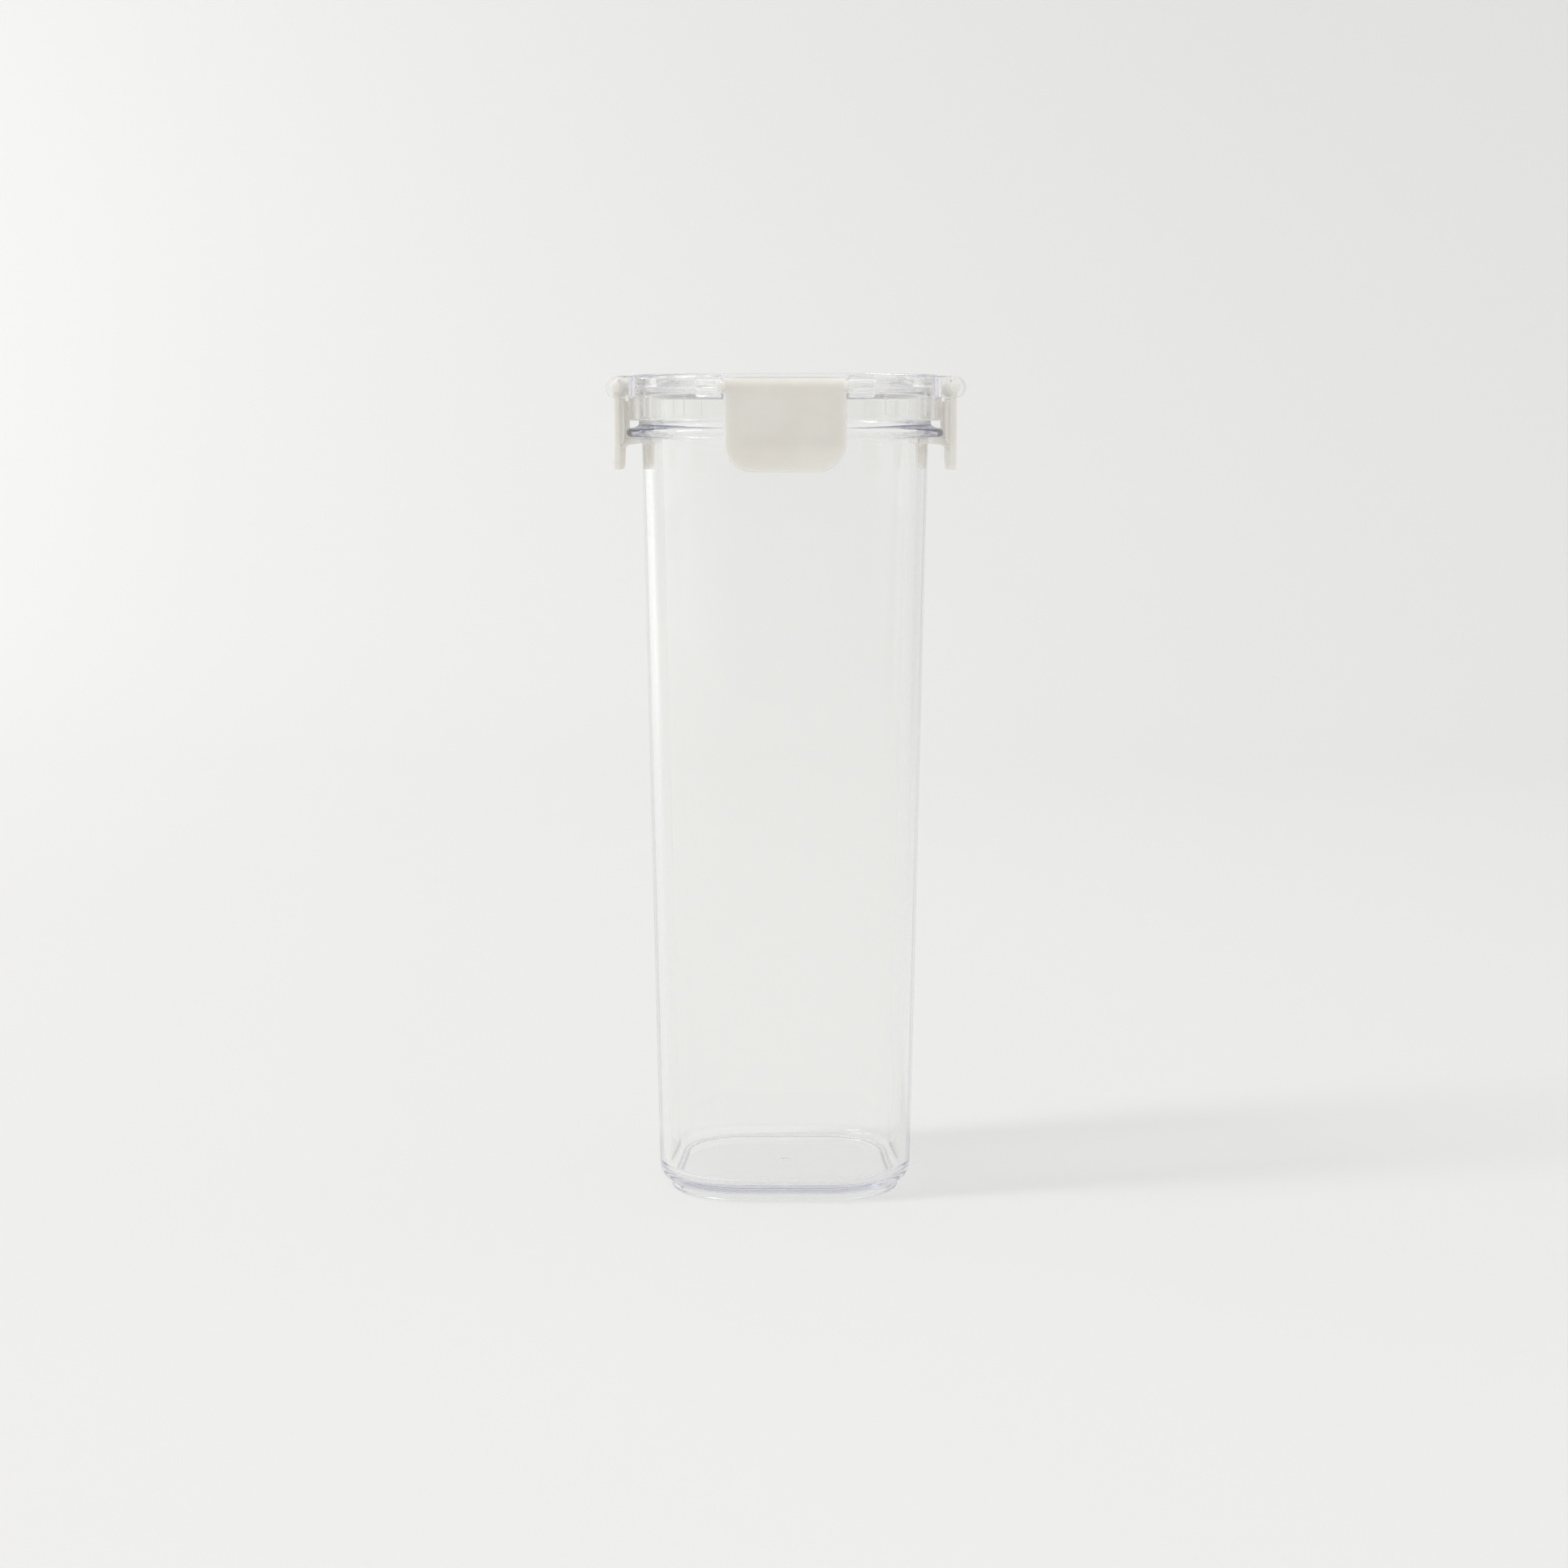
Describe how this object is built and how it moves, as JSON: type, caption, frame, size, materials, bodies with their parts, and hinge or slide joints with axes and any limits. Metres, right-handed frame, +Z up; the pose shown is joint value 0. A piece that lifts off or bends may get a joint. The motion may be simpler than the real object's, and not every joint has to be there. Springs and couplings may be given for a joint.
{
  "type": "food canister",
  "caption": "Tall clear storage canister with a rounded square plan, a recessed clear lid and hinged side latches that hook under its flange.",
  "frame": {"origin": "middle of the foot, on the surface that the canister stands on", "axes": "+Z up to the lid, -Y towards the front latch, +X to the right latch"},
  "size_m": [0.1126, 0.1126, 0.26],
  "materials": {
    "clear_plastic": "clear, polished",
    "silicone": "translucent, soft",
    "latch_plastic": "satin off-white"
  },
  "bodies": {
    "canister": {"canister_body": "clear_plastic", "lid": "clear_plastic", "lid_gasket": "silicone"},
    "latch_front": {"latch_front": "latch_plastic"},
    "latch_back": {"latch_back": "latch_plastic"},
    "latch_left": {"latch_left": "latch_plastic"},
    "latch_right": {"latch_right": "latch_plastic"}
  },
  "joints": [
    {"name": "latch_front_hinge", "type": "hinge", "parent": "canister", "child": "latch_front", "pos_m": [0, -0.0528, 0.256], "axis": [-1, 0, 0], "range_deg": [0, 115]},
    {"name": "latch_back_hinge", "type": "hinge", "parent": "canister", "child": "latch_back", "pos_m": [0, 0.0528, 0.256], "axis": [1, 0, 0], "range_deg": [0, 115]},
    {"name": "latch_left_hinge", "type": "hinge", "parent": "canister", "child": "latch_left", "pos_m": [-0.0528, 0, 0.256], "axis": [0, 1, 0], "range_deg": [0, 115]},
    {"name": "latch_right_hinge", "type": "hinge", "parent": "canister", "child": "latch_right", "pos_m": [0.0528, 0, 0.256], "axis": [0, -1, 0], "range_deg": [0, 115]}
  ]
}
